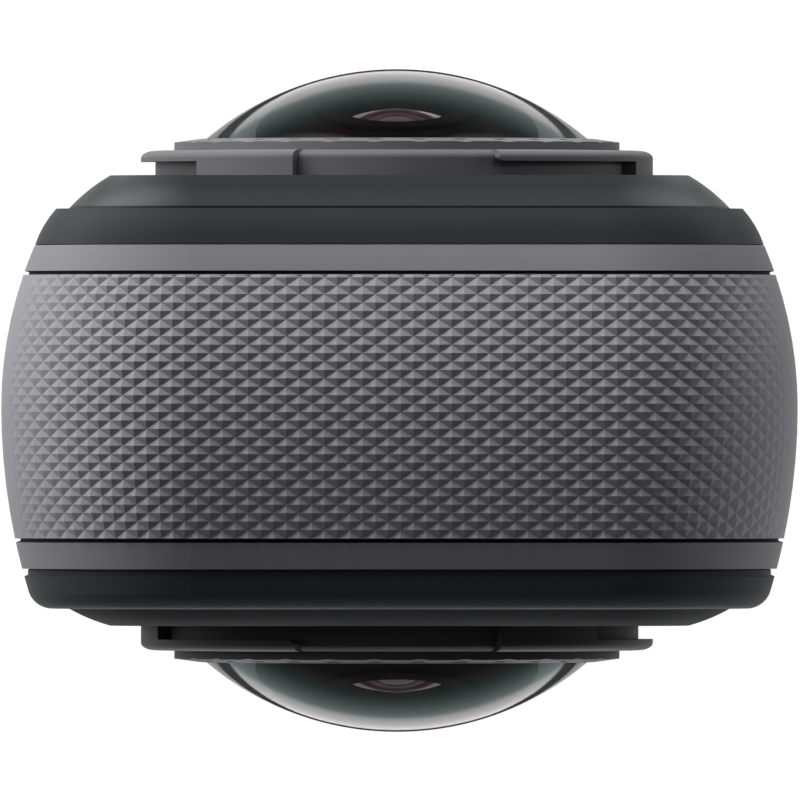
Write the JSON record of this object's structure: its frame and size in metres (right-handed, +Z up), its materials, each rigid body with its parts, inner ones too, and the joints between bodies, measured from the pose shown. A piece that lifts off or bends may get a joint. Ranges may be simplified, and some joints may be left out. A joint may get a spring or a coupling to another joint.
{
  "type": "360 degree camera",
  "caption": "Tall pocket 360 degree camera with fisheye lenses back to back, a pyramid grip band, touchscreen, keys, side battery and tripod thread.",
  "frame": {"origin": "centre of the flat base, under the middle of the body", "axes": "+Z up along the body, +X to the right as the screen is seen, screen toward -Y, front lens toward +Y"},
  "size_m": [0.046, 0.0384, 0.1246],
  "materials": {
    "frame_grey": "fine satin paint",
    "grip_grey": "moulded pyramids, matte",
    "shell_dark": "fine satin",
    "shell_black": "fine satin",
    "plate_grey": "fine satin",
    "ring_grey": "anodised look, satin",
    "bezel_grey": "anodised look, satin",
    "dome_glass": "coated, clear",
    "lens_glass": "pink coated",
    "relay_glass": "coated",
    "hood_black": "matt black",
    "seal_rubber": "matt",
    "sensor": "glossy",
    "board": "solder mask",
    "bracket": "machined",
    "screen_glass": "gloss black",
    "display": "gloss",
    "key_dark": "satin",
    "switch": "satin",
    "steel": "turned",
    "bay": "moulded",
    "contact": "plated",
    "battery": "moulded",
    "door": "fine satin",
    "latch": "satin",
    "card": "moulded",
    "slot": "pressed",
    "magnet": "plated",
    "spreader": "rolled",
    "speaker": "moulded",
    "guard": "etched",
    "led": "frosted",
    "base": "fine satin"
  },
  "bodies": {
    "camera_body": {"mid_frame": "frame_grey", "grip_band": "grip_grey", "base_cap": "base", "tripod_insert": "steel", "base_magnets": "magnet", "front_cover": "shell_dark", "rear_cover": "shell_black", "front_seal": "seal_rubber", "rear_seal": "seal_rubber", "front_lens_plate": "plate_grey", "rear_lens_plate": "plate_grey", "front_bayonet_ring": "ring_grey", "rear_bayonet_ring": "ring_grey", "front_lens_bezel": "bezel_grey", "rear_lens_bezel": "bezel_grey", "front_dome_lens": "dome_glass", "rear_dome_lens": "dome_glass", "front_lens_seal": "seal_rubber", "rear_lens_seal": "seal_rubber", "front_lens_barrel": "hood_black", "rear_lens_barrel": "hood_black", "front_second_lens": "lens_glass", "rear_second_lens": "lens_glass", "front_relay_lens": "relay_glass", "rear_relay_lens": "relay_glass", "front_image_sensor": "sensor", "rear_image_sensor": "sensor", "front_sensor_board": "board", "rear_sensor_board": "board", "lens_bracket": "bracket", "screen_glass": "screen_glass", "display_panel": "display", "tact_switches": "switch", "main_board": "board", "board_screws": "steel", "side_board": "board", "battery_bay": "bay", "battery_contacts": "contact", "card_slot": "slot", "memory_card": "card", "usb_socket": "slot", "usb_hinge_pin": "steel", "heat_spreader": "spreader", "speaker": "speaker", "microphone": "contact", "mic_guard": "guard", "status_led": "led"},
    "battery": {"battery_pack": "battery", "battery_door": "door", "battery_door_seal": "seal_rubber"},
    "latch": {"battery_latch": "latch"},
    "connector_door": {"usb_door": "door", "usb_door_seal": "seal_rubber"},
    "shutter_key": {"shutter_button": "key_dark"},
    "mode_key": {"mode_button": "key_dark"},
    "power_key": {"power_button": "key_dark"},
    "quick_key": {"quick_button": "key_dark"}
  },
  "joints": [
    {"name": "shutter_press", "type": "slide", "parent": "camera_body", "child": "shutter_key", "axis": [0, 1, 0], "range_m": [0, 0.0003], "stiffness_N_per_m": 2500, "springref_m": -0.0004},
    {"name": "mode_press", "type": "slide", "parent": "camera_body", "child": "mode_key", "axis": [0, 1, 0], "range_m": [0, 0.0003], "stiffness_N_per_m": 2500, "springref_m": -0.0004},
    {"name": "power_press", "type": "slide", "parent": "camera_body", "child": "power_key", "axis": [-1, 0, 0], "range_m": [0, 0.0003], "stiffness_N_per_m": 2500, "springref_m": -0.0004},
    {"name": "quick_press", "type": "slide", "parent": "camera_body", "child": "quick_key", "axis": [-1, 0, 0], "range_m": [0, 0.0003], "stiffness_N_per_m": 2500, "springref_m": -0.0004},
    {"name": "connector_door_swing", "type": "hinge", "parent": "camera_body", "child": "connector_door", "pos_m": [0.02163, 0.00455, 0.045], "axis": [0, 0, 1], "range_deg": [0, 95]},
    {"name": "battery_slide", "type": "slide", "parent": "camera_body", "child": "battery", "axis": [-1, 0, 0], "range_m": [0, 0.036]},
    {"name": "latch_slide", "type": "slide", "parent": "battery", "child": "latch", "axis": [0, 0, 1], "range_m": [0, 0.003]}
  ]
}
